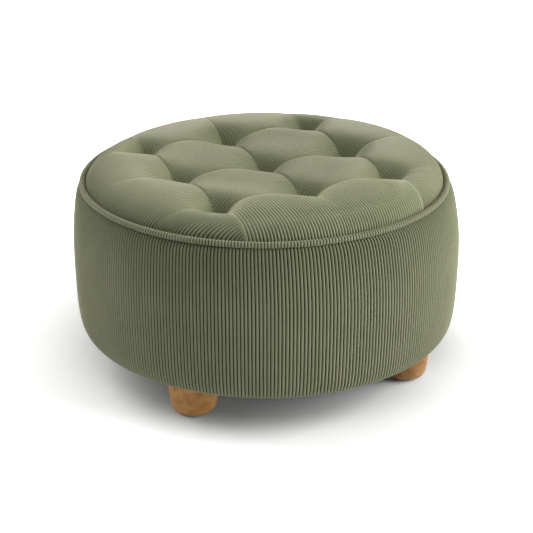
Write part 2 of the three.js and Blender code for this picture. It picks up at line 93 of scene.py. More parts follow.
scene = bpy.context.scene
scene.view_settings.view_transform = "Standard"


def node(tree, kind, **settings):
    """Adds a node, and sets its properties by name."""
    made = tree.nodes.new(kind)
    for name, value in settings.items():
        setattr(made, name, value)
    return made


def seen_or_mirrored(tree):
    """1 for what the camera sees, straight or in a reflection, and 0 for all other light."""
    path = node(tree, "ShaderNodeLightPath")
    seen = node(tree, "ShaderNodeMath", operation="MAXIMUM")
    tree.links.new(path.outputs["Is Camera Ray"], seen.inputs[0])
    tree.links.new(path.outputs["Is Glossy Ray"], seen.inputs[1])
    return seen.outputs[0]


world = bpy.data.worlds.new("studio")
scene.world = world
world.use_nodes = True
tree = world.node_tree
tree.nodes.clear()
sky = node(tree, "ShaderNodeBackground")
sky.inputs["Strength"].default_value = SKY_LEVEL
white = node(tree, "ShaderNodeBackground")
for background in (sky, white):
    background.inputs["Color"].default_value = (1, 1, 1, 1)
either = node(tree, "ShaderNodeMixShader")
tree.links.new(seen_or_mirrored(tree), either.inputs[0])
tree.links.new(sky.outputs[0], either.inputs[1])
tree.links.new(white.outputs[0], either.inputs[2])
tree.links.new(either.outputs[0], node(tree, "ShaderNodeOutputWorld").inputs["Surface"])
print("sky level:", SKY_LEVEL)

# %% [markdown]
# Two low lamps, one on the right and one behind on the left, graze the cloth and bring out its ribs and
# folds. A weaker one, high above the camera, opens the shadows in the tufts. Each is a sun with a broad
# disc, so that its shadows have soft edges, as those of a large studio lamp do.

# %% Lamps
LAMP_SPREAD = math.radians(50)
LAMPS = {  # level, turn from the camera's side and tilt from straight down
    "right": (2.95, math.radians(90), math.radians(68)),
    "back_left": (2.35, math.radians(230), math.radians(67)),
    "high": (0.46, math.radians(5), math.radians(20)),
}

for side, (level, turn, tilt) in LAMPS.items():
    lamp = bpy.data.objects.new(f"lamp_{side}", bpy.data.lights.new(f"lamp_{side}", "SUN"))
    lamp.data.energy = level
    lamp.data.angle = LAMP_SPREAD
    lamp.rotation_euler = (tilt, 0, PHOTO_TURN + turn)
    bpy.context.collection.objects.link(lamp)
print("lamps:", ", ".join(LAMPS))

# %% [markdown]
# Every finish starts from a small helper that makes a material with one Principled shader. Numbers that are
# the same all over are set on the shader's own sockets, and only what varies is linked. Patterns are noises
# in Object coordinates, which run through a piece as grain does, so that nothing is unwrapped and no seam
# shows.

# %% Shader and noise helpers


def finish_of(name, rough, metal=0.0, sheen=0.0, sheen_rough=0.5, specular=0.5):
    material = bpy.data.materials.new(name)
    material.use_nodes = True
    shader = material.node_tree.nodes["Principled BSDF"]
    shader.inputs["Roughness"].default_value = rough
    shader.inputs["Metallic"].default_value = metal
    shader.inputs["Sheen Weight"].default_value = sheen
    shader.inputs["Sheen Roughness"].default_value = sheen_rough
    shader.inputs["Specular IOR Level"].default_value = specular
    return material, material.node_tree, shader


def noise(tree, scale, detail=3, stretch=(1, 1, 1), rough=0.55):
    """Noise on Object coordinates, in cells a metre; stretch shortens the pattern along an axis."""
    where = node(tree, "ShaderNodeTexCoord")
    mapping = node(tree, "ShaderNodeMapping")
    mapping.inputs["Scale"].default_value = stretch
    made = node(tree, "ShaderNodeTexNoise")
    made.inputs["Scale"].default_value = scale
    made.inputs["Detail"].default_value = detail
    made.inputs["Roughness"].default_value = rough
    tree.links.new(where.outputs["Object"], mapping.inputs["Vector"])
    tree.links.new(mapping.outputs["Vector"], made.inputs["Vector"])
    return made.outputs["Fac"]


def ramp(tree, value, stops):
    """A colour ramp of (place, colour) stops."""
    made = node(tree, "ShaderNodeValToRGB")
    elements = made.color_ramp.elements
    while len(elements) < len(stops):
        elements.new(0.5)
    for element, (place, colour) in zip(elements, stops):
        element.position = place
        element.color = (*colour, 1)
    tree.links.new(value, made.inputs["Fac"])
    return made.outputs["Color"]


# %% [markdown]
# Most colours here are a plain one, multiplied by tints that come and go with a pattern. That keeps every
# layer of a finish apart, so that each can be made stronger or weaker by itself. A mottled finish, which
# drifts between two colours, is enough for whatever hardly shows.

# %% Colour helpers
UNTINTED = (1.0, 1.0, 1.0)
MIX_ONE, MIX_OTHER, MIX_RESULT = 6, 7, 2
MOTTLED_FROM, MOTTLED_TO = 0.32, 0.68


def mixed(tree, share, one, other, blend="MIX"):
    """One colour at a share of 0 and the other at 1; each may be a socket or plain numbers."""
    made = node(tree, "ShaderNodeMix", data_type="RGBA", blend_type=blend)
    sockets = made.inputs["Factor"], made.inputs[MIX_ONE], made.inputs[MIX_OTHER]
    for socket, value in zip(sockets, (share, one, other)):
        if isinstance(value, bpy.types.NodeSocket):
            tree.links.new(value, socket)
        elif isinstance(value, tuple):
            socket.default_value = (*value, 1)
        else:
            socket.default_value = value
    return made.outputs[MIX_RESULT]


def tinted(tree, colour, share, low, high):
    """Multiplies a colour by a tint, which goes from low to high as the share goes from 0 to 1."""
    return mixed(tree, 1.0, colour, mixed(tree, share, low, high), "MULTIPLY")


def bumped(tree, shader, height, distance, strength=1.0):
    """Adds a bump to the shader, on top of any that it has."""
    made = node(tree, "ShaderNodeBump")
    made.inputs["Distance"].default_value = distance
    made.inputs["Strength"].default_value = strength
    tree.links.new(height, made.inputs["Height"])
    normal = shader.inputs["Normal"]
    if normal.is_linked:
        tree.links.new(normal.links[0].from_socket, made.inputs["Normal"])
    tree.links.new(made.outputs["Normal"], normal)


def mottled(name, dark, pale, scale, rough, stretch=(1, 1, 1), metal=0.0, depth=0.2 * MM):
    """A finish that drifts between two colours, on a noise of so many cells a metre, with a bump."""
    material, tree, shader = finish_of(name, rough=rough, metal=metal)
    cells = noise(tree, scale=scale, detail=4, stretch=stretch)
    colour = ramp(tree, cells, [(MOTTLED_FROM, dark), (MOTTLED_TO, pale)])
    tree.links.new(colour, shader.inputs["Base Color"])
    bumped(tree, shader, cells, distance=depth)
    return material


# %% [markdown]
# The studio floor is one broad white square, which throws its light back up at the side of the drum. For
# the camera it is brighter still, most of all away from the drum, so that it clips to plain white beyond
# the shadow; nearer the drum it stays darker, which is painted shade round the tuffet. The light that falls
# on the tuffet stays as it is.

# %% Floor
FLOOR_SIDE = 60
FLOOR_ROUGH = 0.9
FLOOR_BOUNCE = 0.85
# painted shade: near the drum the floor is less bright for the camera than far out
SEEN_IN_PAINTED_SHADE, SEEN_FAR = 1.3, 2.2
PAINTED_SHADE_FADE_FROM, PAINTED_SHADE_FADE_TO = 0.25, 0.44


def grey(level):
    return (level, level, level)


def studio_floor():
    """White for the lamps' light, and brighter for the camera, less so near the drum, as painted shade."""
    material, tree, shader = finish_of("studio_floor", rough=FLOOR_ROUGH, specular=0.0)
    where = node(tree, "ShaderNodeTexCoord")
    from_middle = node(tree, "ShaderNodeVectorMath", operation="LENGTH")
    painted_shade_fade = node(tree, "ShaderNodeMapRange")
    painted_shade_fade.inputs["From Min"].default_value = PAINTED_SHADE_FADE_FROM
    painted_shade_fade.inputs["From Max"].default_value = PAINTED_SHADE_FADE_TO
    tree.links.new(where.outputs["Object"], from_middle.inputs[0])
    tree.links.new(from_middle.outputs["Value"], painted_shade_fade.inputs["Value"])
    seen_with_painted_shade = mixed(tree, painted_shade_fade.outputs["Result"], grey(SEEN_IN_PAINTED_SHADE), grey(SEEN_FAR))
    shade = mixed(tree, seen_or_mirrored(tree), grey(FLOOR_BOUNCE), seen_with_painted_shade)
    tree.links.new(shade, shader.inputs["Base Color"])
    return material


floor_shape = bmesh.new()
bmesh.ops.create_grid(floor_shape, x_segments=1, y_segments=1, size=FLOOR_SIDE / 2)
floor_data = bpy.data.meshes.new("floor")
floor_shape.to_mesh(floor_data)
floor_shape.free()
floor_data.materials.append(studio_floor())
floor = bpy.data.objects.new("floor", floor_data)
bpy.context.collection.objects.link(floor)
print("floor:", FLOOR_SIDE, "m square")

# %% [markdown]
# Corduroy is cut pile: the ribs stand up and catch the light, and the grooves between them are bare backing,
# coloured darker still with painted shade. The ribs are real geometry here, and each mesh carries a ridge
# value, from 0 in a groove to 1 on a crest, which the finish reads. Two more values darken the pile, partly
# for wear and partly as painted shade, and make it paler, as painted light. The nap lies in soft patches,
# and the colour is painted paler where the cloth is seen at a slant, a painted sheen like that of a short
# pile.

# %% Corduroy finish
# the groove colour is the backing's own, made darker still with painted shade
GROOVE_BACKING_AND_SHADE, CREST_COLOUR = (0.046, 0.058, 0.024), (0.385, 0.405, 0.252)
GROOVE_UP_TO, CREST_FROM = 0.1, 0.55
# darker where the pile is worn, and where shade is painted
WEAR_AND_SHADE_TINT = (0.655, 0.675, 0.617)
# paler where light is painted
PAINTED_LIGHT_TINT = (1.5, 1.5, 1.5)
# painted sheen: a tint that makes the colour paler where the cloth is seen at a slant
PAINTED_SHEEN_TINT = (1.22, 1.2, 1.21)
PAINTED_SHEEN_BLEND, PAINTED_SHEEN_POWER = 0.5, 2
PATCH_CELLS = 22
PATCH_TINTS = (0.84, 0.85, 0.82), (1.14, 1.13, 1.16)
FIBRE_CELLS, FIBRE_ROUGH = 420, 0.7
FIBRE_TINTS = (0.74, 0.74, 0.72), (1.26, 1.26, 1.27)
NAP_CELLS, NAP_DEPTH, NAP_STRENGTH = 1400, 0.6 * MM, 0.6
PILE_ROUGH, PILE_SPECULAR = 0.92, 0.15
SHEEN, SHEEN_ROUGH, SHEEN_COLOUR = 0.9, 0.36, (0.85, 0.75, 0.67)


def corduroy():
    """Reads the three values that each corduroy mesh carries: the ridge, the wear with painted shade, and the
    painted light.
    """
    material, tree, shader = finish_of("sage_corduroy", rough=PILE_ROUGH, sheen=SHEEN,
                                       sheen_rough=SHEEN_ROUGH, specular=PILE_SPECULAR)
    shader.inputs["Sheen Tint"].default_value = (*SHEEN_COLOUR, 1)
    ridge = node(tree, "ShaderNodeAttribute", attribute_name="ridge")
    colour = ramp(tree, ridge.outputs["Fac"], [(GROOVE_UP_TO, GROOVE_BACKING_AND_SHADE), (CREST_FROM, CREST_COLOUR)])
    for way, tint in (("wear_and_shade", WEAR_AND_SHADE_TINT), ("painted_light", PAINTED_LIGHT_TINT)):
        share = node(tree, "ShaderNodeAttribute", attribute_name=way)
        colour = tinted(tree, colour, share.outputs["Fac"], UNTINTED, tint)
    # painted sheen: the colour grows paler where the cloth is seen at a slant
    facing = node(tree, "ShaderNodeLayerWeight")
    facing.inputs["Blend"].default_value = PAINTED_SHEEN_BLEND
    painted_sheen = node(tree, "ShaderNodeMath", operation="POWER")
    painted_sheen.inputs[1].default_value = PAINTED_SHEEN_POWER
    tree.links.new(facing.outputs["Facing"], painted_sheen.inputs[0])
    colour = tinted(tree, colour, painted_sheen.outputs[0], UNTINTED, PAINTED_SHEEN_TINT)
    colour = tinted(tree, colour, noise(tree, PATCH_CELLS, detail=4), *PATCH_TINTS)
    colour = tinted(tree, colour, noise(tree, FIBRE_CELLS, detail=4, rough=FIBRE_ROUGH), *FIBRE_TINTS)
    tree.links.new(colour, shader.inputs["Base Color"])
    bumped(tree, shader, noise(tree, NAP_CELLS), distance=NAP_DEPTH, strength=NAP_STRENGTH)
    return material


CORDUROY = corduroy()
print("corduroy nodes:", len(CORDUROY.node_tree.nodes))

# %% [markdown]
# The helpers below turn a bmesh into a finished piece. A cover starts as a flat grid, whose columns and
# rows are counted, and a formula then lays the whole grid in place at once. Points that land on each other
# are merged, so a grid can be rolled up into a ring.

# %% Piece helpers
MERGE_WITHIN = 0.01 * MM


def counted_grid(columns, rows):
    """A flat grid, with the column and row number of each of its points."""
    shape = bmesh.new()
    bmesh.ops.create_grid(shape, x_segments=columns, y_segments=rows, size=0.5)
    flat = np.array([vert.co[:2] for vert in shape.verts]) + 0.5
    return shape, np.rint(flat[:, 0] * columns).astype(int), np.rint(flat[:, 1] * rows).astype(int)


def laid(shape, places, ridges, wear_and_shade=0, painted_light=0):
    """Moves every point to its place, and keeps the ridge, the wear with painted shade and the painted light
    there.
    """
    values = {"ridge": ridges, "wear_and_shade": wear_and_shade + 0 * ridges, "painted_light": painted_light + 0 * ridges}
    layers = {name: shape.verts.layers.float.new(name) for name in values}
    for vert, place in zip(shape.verts, places.tolist()):
        vert.co = place
    for name, layer in layers.items():
        for vert, value in zip(shape.verts, values[name].tolist()):
            vert[layer] = value


def merge_close(shape):
    bmesh.ops.remove_doubles(shape, verts=shape.verts, dist=MERGE_WITHIN)


def finished(name, shape, material, smooth=True):
    """Makes the shape an object of its own, which rides on the one body and names the slot of its finish."""
    data = bpy.data.meshes.new(name)
    shape.to_mesh(data)
    shape.free()
    data.polygons.foreach_set("use_smooth", [smooth] * len(data.polygons))
    data.materials.append(material)
    piece = bpy.data.objects.new(name, data)
    bpy.context.collection.objects.link(piece)
    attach(piece, "root")
    print(name, len(data.polygons), "faces")
    return piece


trial = counted_grid(3, 2)[0]
print("a grid of 3 by 2 has", len(trial.verts), "points")
trial.free()

# %% [markdown]
# A rib seen end on is a round pile beside a groove of bare backing, which is about a quarter of its width.
# Eight points across a rib are enough, if most of them stand where the pile rounds off. The same profile
# serves the side, the top and the piping.

# %% Rib profile
RIB_PITCH = 5.6 * MM
RIB_DEPTH = 2.3 * MM
PILE_SHARE = 0.76
PILE_POWER, PILE_FULLNESS = 2.6, 0.6
RIB_PHASES = np.array([0, 0.12, 0.17, 0.27, 0.5, 0.73, 0.83, 0.88])


def rib_height(phase):
    """From 0 in the groove to 1 on the crest, for a phase in ribs."""
    across = np.abs(2 * (phase % 1) - 1) / PILE_SHARE
    return np.clip(1 - across ** PILE_POWER, 0, 1) ** PILE_FULLNESS


def rib_marks(ribs):
    """The phases of every point across a number of whole ribs, and the closing groove."""
    return np.append((np.arange(ribs)[:, None] + RIB_PHASES).ravel(), ribs)


print("rib heights across:", rib_height(RIB_PHASES).round(2))

# %% [markdown]
# The side cover is one strip round the drum, with its ribs upright. It could be a smooth wall with a bump
# for the ribs, but they show at the outline and in every shadow, so they are cut into the form. That form
# is an easy curve above the belly that rolls in to the top seam, and a nearly upright one below, which
# rounds under the base as a hem. The top is sewn on a few millimetres off centre, so the upper part leans a
# little to the photograph's left.

# %% Side outline
side_low, side_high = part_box("side_cover")
DRUM_RADIUS = side_high.x
SIDE_TOP, SIDE_FOOT = side_high.z, side_low.z
BELLY_HEIGHT = 187 * MM
SIDE_DRAW = 14.5 * MM
SHOULDER_ROLL, SHOULDER_POWER = 6.8 * MM, 24
SIDE_EDGE_RADIUS = DRUM_RADIUS - SIDE_DRAW - SHOULDER_ROLL
BOTTOM_CORNER, CORNER_POWER = 21 * MM, 3.84
HEM_RADIUS = DRUM_RADIUS - 55 * MM
UPPER_SHARES = np.array([1, 0.99, 0.975, 0.95, 0.91, 0.84, 0.74, 0.6, 0.42, 0.22])
LOWER_SHARES = np.array([0, 0.2, 0.4, 0.58, 0.72, 0.82, 0.89, 0.94, 0.975, 0.993, 1])
LEAN = np.array([-3.0, 1.4]) * MM


def above_belly(height):
    """From 0 at the belly, and below it, to 1 at the top seam."""
    return np.clip((height - BELLY_HEIGHT) / (SIDE_TOP - BELLY_HEIGHT), 0, 1)


def leaned(places):
    """Shifts what is above the belly sideways, most of all the top seam."""
    places[:, :2] += LEAN * (above_belly(places[:, 2]) ** 2)[:, None]
    return places


def side_outline():
    """Radius and height pairs of the ribbed face, from the top seam to the hem's edge under the base."""
    upper_radii = DRUM_RADIUS - SIDE_DRAW * UPPER_SHARES ** 2 - SHOULDER_ROLL * UPPER_SHARES ** SHOULDER_POWER
    upper_heights = BELLY_HEIGHT + (SIDE_TOP - BELLY_HEIGHT) * UPPER_SHARES
    rounding = (1 - LOWER_SHARES ** CORNER_POWER) ** (1 / CORNER_POWER)
    lower_radii = DRUM_RADIUS - BOTTOM_CORNER * (1 - rounding)
    lower_heights = BELLY_HEIGHT - (BELLY_HEIGHT - SIDE_FOOT) * LOWER_SHARES
    radii = np.concatenate([upper_radii, lower_radii, [HEM_RADIUS]])
    return np.stack([radii, np.concatenate([upper_heights, lower_heights, [SIDE_FOOT]])], 1)


ribbed = side_outline()
print("stations down the side:", len(ribbed))

# %% [markdown]
# The foam wall behind the cover closes the form, because cover and foam are one padded piece here. The cloth
# is painted with shade: a little darker all over, and much darker towards the top seam, under the piping.
# The strip's two ends meet in one upright seam, which is turned to the back, where a maker would put it.

# %% Side cover
HEM_THICKNESS = 3 * MM
SEAM_ALLOWANCE = 4.4 * MM
SEAM_DROP = 12 * MM
WALL_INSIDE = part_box("wall_skin")[1].x
SIDE_RIBS = round(2 * math.pi * DRUM_RADIUS / RIB_PITCH)
# painted shade: the side a little darker all over, and much darker at the top seam, under the piping
SIDE_SHADE, SEAM_SHADE = 0.14, 0.85
BACK_SEAM = math.radians(64.5)
BACK_SEAM_DEPTH, BACK_SEAM_WIDTH = 1.8 * MM, 3 * MM


def side_inside():
    """The smooth back of the form: over the hem, up the foam wall and in to the top seam."""
    seam_inside = SIDE_EDGE_RADIUS - SEAM_ALLOWANCE
    board_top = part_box("top_board")[1].z
    return np.array([
        (HEM_RADIUS, SIDE_FOOT + HEM_THICKNESS),
        (WALL_INSIDE, SIDE_FOOT + HEM_THICKNESS),
        (WALL_INSIDE, board_top),
        (seam_inside, SIDE_TOP - SEAM_DROP),
        (seam_inside, SIDE_TOP),
    ])


def rolled(outline, depths, ribs, name):
    """A grid rolled up about the drum's axis, with upright ribs as deep as each station says."""
    marks = rib_marks(ribs)
    shape, column, row = counted_grid(len(marks) - 1, len(outline))
    row = row % len(outline)
    crest = rib_height(marks[column])
    angle = marks[column] * 2 * math.pi / ribs
    from_seam = np.abs(angle - BACK_SEAM) * DRUM_RADIUS
    seam = BACK_SEAM_DEPTH * np.exp(-(from_seam / BACK_SEAM_WIDTH) ** 2) * (depths[row] > 0)
    radius, height = outline[row, 0] - depths[row] * (1 - crest) - seam, outline[row, 1]
    places = np.stack([radius * np.cos(angle), radius * np.sin(angle), height], 1)
    # painted shade on the side, growing towards the top seam under the piping
    wear_and_shade = SIDE_SHADE + (SEAM_SHADE - SIDE_SHADE) * above_belly(height) ** 2
    laid(shape, leaned(places), crest, wear_and_shade=wear_and_shade)
    merge_close(shape)
    return finished(name, shape, CORDUROY)


whole = np.concatenate([ribbed, side_inside()])
side_depths = np.where(np.arange(len(whole)) < len(ribbed), RIB_DEPTH, 0)
side = rolled(whole, side_depths, SIDE_RIBS, "side_padding")
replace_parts(side, "side_cover", "side_foam")
print(SIDE_RIBS, "ribs round the side")

# %% [markdown]
# The seat is drawn down at nine tufts. Each tuft is a star shaped pit in a broad, nearly level quilt: it
# falls slowly along the creases that run from tuft to tuft, and steeply between them. A shallow pleat
# follows each crease out to the rim, with a narrow tuck where the cloth is folded under. The folds all face
# one way, as a hand lays them, so each crease has an easy slope on one side and a steep one on the other.
# At the front the cloth is let out, which widens the slopes beyond the tufts there. The outer puffs are
# wider than the inner ones and so stand a little higher, and then fall to the seam. The filling is a little
# thicker on the photograph's right than on its left. A cloth simulation could find such a form, but the
# ribs are finer than the mesh that it needs, so one formula gives the height at each place instead.

# %% Seat form
SEAM_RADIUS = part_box("top_cover")[1].x
SEAM_HEIGHT = SIDE_TOP
TUFT_PITCH = DRUM_RADIUS - 174 * MM
TUFT_LINES = np.array([-TUFT_PITCH, 0, TUFT_PITCH])
TUFT_HEIGHT = 300 * MM
TUFT_REACH, TUFT_POWER = 26.5 * MM, 1.35
STAR_POWER = 1.3
CREASE_ROUND = 1.5 * MM
FOLD_GAIN_RIGHT, FOLD_GAIN_NEAR = 0.4, 0.08
LET_OUT = 25 * MM
LET_OUT_FROM, LET_OUT_TO = TUFT_PITCH + 8 * MM, TUFT_PITCH + 60 * MM
PUFF_HEIGHT = 342 * MM
OUTER_LIFT = 8 * MM
LIFT_FROM, LIFT_TO = 110 * MM, 200 * MM
CROWN_POWER = 9.5
PLEAT_DEPTH, PLEAT_WIDTH = 3 * MM, 30 * MM
RIM_PLEAT_SHARE = 0.45
PLEAT_FADE_FROM, PLEAT_FADE_TO = 140 * MM, 250 * MM
TUCK_DEPTH, TUCK_WIDTH = 2 * MM, 2.4 * MM
TUCK_FADE_FROM, TUCK_FADE_TO = 185 * MM, 250 * MM
FILL_TILT = 0.02


def from_line(place):
    """How far a place is from the nearest line of tufts."""
    return np.abs(place[..., None] - TUFT_LINES).min(-1)


def offset_from_line(place):
    """The same with its sign, so that the two sides of a crease can differ."""
    offsets = place[..., None] - TUFT_LINES
    return np.take_along_axis(offsets, np.abs(offsets).argmin(-1)[..., None], -1)[..., 0]


def folded(place, side, gain):
    """Distance from a line of tufts, counted as further on the side where its crease rises steeply."""
    offset = offset_from_line(place)
    share = np.clip(1 - np.abs(offset) / (TUFT_PITCH / 2), 0, 1)
    return np.abs(offset) * (1 + np.where(offset * side > 0, gain, 0) * share)


def eased(place, start, stop):
    """Rises from 0 to 1 without a corner between two places."""
    share = np.clip((place - start) / (stop - start), 0, 1)
    return share * share * (3 - 2 * share)


def star_reach(across, along):
    """Distance from a tuft, counted so that what lies beside a crease is further off than what lies in it."""
    across, along = (np.hypot(place, CREASE_ROUND) - CREASE_ROUND for place in (across, along))
    return (across ** STAR_POWER + along ** STAR_POWER) ** (1 / STAR_POWER)


def seat_height(x, y):
    across, along = folded(x, 1, FOLD_GAIN_RIGHT), folded(y, -1, FOLD_GAIN_NEAR)
    across = across + LET_OUT * eased(x, 0, TUFT_PITCH) * eased(-y, LET_OUT_FROM, LET_OUT_TO)
    from_centre = np.hypot(x, y)
    tuck = TUCK_DEPTH * (1 - eased(from_centre, TUCK_FADE_FROM, TUCK_FADE_TO))
    tuck = tuck * (1 - np.tanh(np.minimum(from_line(x), from_line(y)) / TUCK_WIDTH))
    depth = PLEAT_DEPTH * (1 - (1 - RIM_PLEAT_SHARE) * eased(from_centre, PLEAT_FADE_FROM, PLEAT_FADE_TO))
    pleat = depth * (1 - np.tanh(np.minimum(across, along) / PLEAT_WIDTH)) + tuck
    rightward = x * math.cos(PHOTO_TURN) + y * math.sin(PHOTO_TURN)
    quilt = PUFF_HEIGHT + OUTER_LIFT * eased(from_centre, LIFT_FROM, LIFT_TO) - pleat + FILL_TILT * rightward
    funnel = np.exp(-(star_reach(across, along) / TUFT_REACH) ** TUFT_POWER)
    quilt = quilt + (TUFT_HEIGHT - quilt) * funnel
    crown = np.sqrt(np.maximum(0, 1 - np.minimum(1, from_centre / SEAM_RADIUS) ** CROWN_POWER))
    return SEAM_HEIGHT + (quilt - SEAM_HEIGHT) * crown


heights = seat_height(np.array([0, TUFT_PITCH / 2]), np.array([0, TUFT_PITCH / 2]))
print("middle tuft and first puff at", [round(height / MM, 1) for height in heights], "mm")

# %% [markdown]
# Grooves are cut square to the face, so the way up from it is needed at every place. The formula above has
# no handy derivative. Its heights a small step to either side give the slope well enough.

# %% Way up from the seat
SLOPE_STEP = 1.5 * MM


def seat_normal(x, y):
    """The way up from the seat's face, from the fall of the form to either side."""
    fall_x = (seat_height(x + SLOPE_STEP, y) - seat_height(x - SLOPE_STEP, y)) / (2 * SLOPE_STEP)
    fall_y = (seat_height(x, y + SLOPE_STEP) - seat_height(x, y - SLOPE_STEP)) / (2 * SLOPE_STEP)
    way = np.stack([-fall_x, -fall_y, np.ones_like(fall_x)], -1)
    return way / np.linalg.norm(way, axis=-1, keepdims=True)


beside_tuft = np.array([TUFT_REACH]), np.array([TUFT_REACH])
print("way up beside the middle tuft:", seat_normal(*beside_tuft)[0].round(2))

# %% [markdown]
# The ribs of the seat run along the tuft rows, apart from the puffs at the front and back, whose ribs run
# from the tufts out to the rim. So the seat is cut as three panels: one across the middle with the four
# corners, and one each at the front and back. Ribs are spaced along the surface and not along the plan,
# because the cloth doesn't stretch: a section of the form is measured, and whole ribs are laid out on it.

# %% Lines of the seat's ribs
TOP_RIB_PITCH = 4.75 * MM
SECTION_STEPS = 3001
PUFF_MIDDLE = TUFT_PITCH / 2
BESIDE_TUFTS = TUFT_PITCH + 4 * MM
CORNER_REACH = math.sqrt(SEAM_RADIUS ** 2 - TUFT_PITCH ** 2)


def rib_lines(start, stop, x):
    """The place and phase of each mark of the ribs between two places, measured on the section at x."""
    steps = np.linspace(start, stop, SECTION_STEPS)
    heights = seat_height(np.full_like(steps, x), steps)
    reach = np.append(0, np.cumsum(np.hypot(np.diff(steps), np.diff(heights))))
    ribs = round(reach[-1] / TOP_RIB_PITCH)
    marks = rib_marks(ribs)
    return np.interp(marks * reach[-1] / ribs, reach, steps), marks


inner_lines, inner_marks = rib_lines(0, TUFT_PITCH, PUFF_MIDDLE)
outer_lines, outer_marks = rib_lines(TUFT_PITCH, CORNER_REACH, BESIDE_TUFTS)
half_lines = np.append(inner_lines, outer_lines[1:])
half_marks = np.append(inner_marks, outer_marks[1:])
row_lines = np.append(-half_lines[:0:-1], half_lines)
row_marks = np.append(half_marks[:0:-1], half_marks)
column_lines = np.append(-inner_lines[:0:-1], inner_lines)
column_marks = np.append(inner_marks[:0:-1], inner_marks)
print("ribs in a puff:", inner_marks[-1], "in a corner puff:", outer_marks[-1])

# %% [markdown]
# The grooves don't show the same all over. On the level tops the pile is worn flat and nearly closes them.
# They open on the slopes, in the tufts and towards the rim, most of all at the photograph's left front.
# They close where two panels meet, so that the edges of both fit. How far they open is how deep they are
# cut, and how much of the grooves' painted shade shows.

# %% How far the grooves open
STEEP_OPENING, STEEP_TILT = 0.4, math.radians(30)
PIT_OPENING, PIT_REACH = 0.62, 26 * MM
RIM_OPENING, BACK_RIM_OPENING = 0.9, 0.25
RIM_SPREAD, RIM_POWER = 0.6, 5
FRONT_TURN = math.radians(-132)
BORDER_SLACK, BORDER_CLEAR = 1 * MM, 5 * MM


def outward(x, y):
    """From 0 at the seat's middle to 1 at its seam."""
    return np.minimum(1, np.hypot(x, y) / SEAM_RADIUS)


def frontward(x, y):
    """From -1 at the back of the seam to 1 at its front."""
    return (x * math.cos(FRONT_TURN) + y * math.sin(FRONT_TURN)) / SEAM_RADIUS


def from_tuft(x, y):
    return np.hypot(from_line(x), from_line(y))


def from_border(x, y):
    """How far a place is from where two panels meet."""
    by_row = np.where(np.abs(x) < TUFT_PITCH + BORDER_SLACK, np.abs(np.abs(y) - TUFT_PITCH), SEAM_RADIUS)
    by_column = np.where(np.abs(y) > TUFT_PITCH - BORDER_SLACK, np.abs(np.abs(x) - TUFT_PITCH), SEAM_RADIUS)
    return np.minimum(by_row, by_column)


def groove_opening(x, y, upright, level_opening):
    """From 0, closed, to 1, fully open, where the face points up as far as upright says."""
    tilt = np.clip(np.arccos(np.clip(upright, -1, 1)) / STEEP_TILT, 0, 1)
    on_slope = level_opening + (STEEP_OPENING - level_opening) * tilt ** 2
    in_pit = np.exp(-(from_tuft(x, y) / PIT_REACH) ** 2)
    front = eased(frontward(x, y), -RIM_SPREAD, RIM_SPREAD)
    on_rim = (BACK_RIM_OPENING + (RIM_OPENING - BACK_RIM_OPENING) * front) * outward(x, y) ** RIM_POWER
    opening = np.maximum(on_slope + (PIT_OPENING - on_slope) * in_pit, on_rim)
    return opening * eased(from_border(x, y), 0, BORDER_CLEAR)


rim_front = np.array([SEAM_RADIUS * math.cos(FRONT_TURN)]), np.array([SEAM_RADIUS * math.sin(FRONT_TURN)])
print("grooves at the front of the rim open by", groove_opening(*rim_front, 0, 0).round(2)[0])

# %% [markdown]
# Where people sit, the pile is pressed flat, which makes it darker. It is less so out at the front, and more
# towards the back, which is painted shade. In the tufts it is brought to a middle darkness, which is painted
# shade too. Beside the fold along each row of tufts, a narrow lip is painted paler, a painted highlight where
# the fold catches the light.

# %% Packed and brushed pile
# darker over the middle for wear; the darkness towards the back and in the tufts is painted shade
WORN, WORN_FRONT, BACK_SHADE = 1, 0.35, 0.9
WORN_FROM, WORN_TO = 90 * MM, 230 * MM
BACK_FROM, BACK_TO = -0.1, 0.45
PIT_SHADE, PIT_SHADE_REACH = 0.5, 24 * MM
# painted highlight along the lip beside each row fold
LIP_HIGHLIGHT, LIP_PLACE, LIP_WIDTH = 0.9, 5 * MM, 3.5 * MM
LIP_POWER = 4


def pile_wear_and_shade(x, y):
    outer_wear_and_shade = WORN_FRONT + (BACK_SHADE - WORN_FRONT) * eased(-frontward(x, y), BACK_FROM, BACK_TO)
    wear_and_back_shade = WORN + (outer_wear_and_shade - WORN) * eased(np.hypot(x, y), WORN_FROM, WORN_TO)
    return wear_and_back_shade + (PIT_SHADE - wear_and_back_shade) * np.exp(-(from_tuft(x, y) / PIT_SHADE_REACH) ** 2)


def painted_lip_highlight(x, y):
    on_lip = np.exp(-((offset_from_line(y) + LIP_PLACE) / LIP_WIDTH) ** 2)
    return LIP_HIGHLIGHT * on_lip * (1 - outward(x, y) ** LIP_POWER)


between = np.array([PUFF_MIDDLE]), np.array([PUFF_MIDDLE])
print("pile of a middle puff is packed by", pile_wear_and_shade(*between).round(2)[0])

# %% [markdown]
# A hand doesn't set tufts quite on their grid. In the photograph the whole grid sits a little to one side,
# its rows are slightly askew, and it narrows towards the front. The seat is laid out square first and then
# drifts so, less and less towards the rim, where it leans with the seam.

# %% Face of the seat
GRID_SHIFT = np.array([-8, -8]) * MM
GRID_SKEW = 0.045
FRONT_TAPER = 0.05
DRIFT_POWER = 3


def drift(x, y):
    taper = FRONT_TAPER * np.clip(-y / TUFT_PITCH, 0, 1)
    moved = np.stack([GRID_SHIFT[0] - taper * x, GRID_SHIFT[1] - GRID_SKEW * x], 1)
    return LEAN + (moved - LEAN) * (1 - outward(x, y) ** DRIFT_POWER)[:, None]


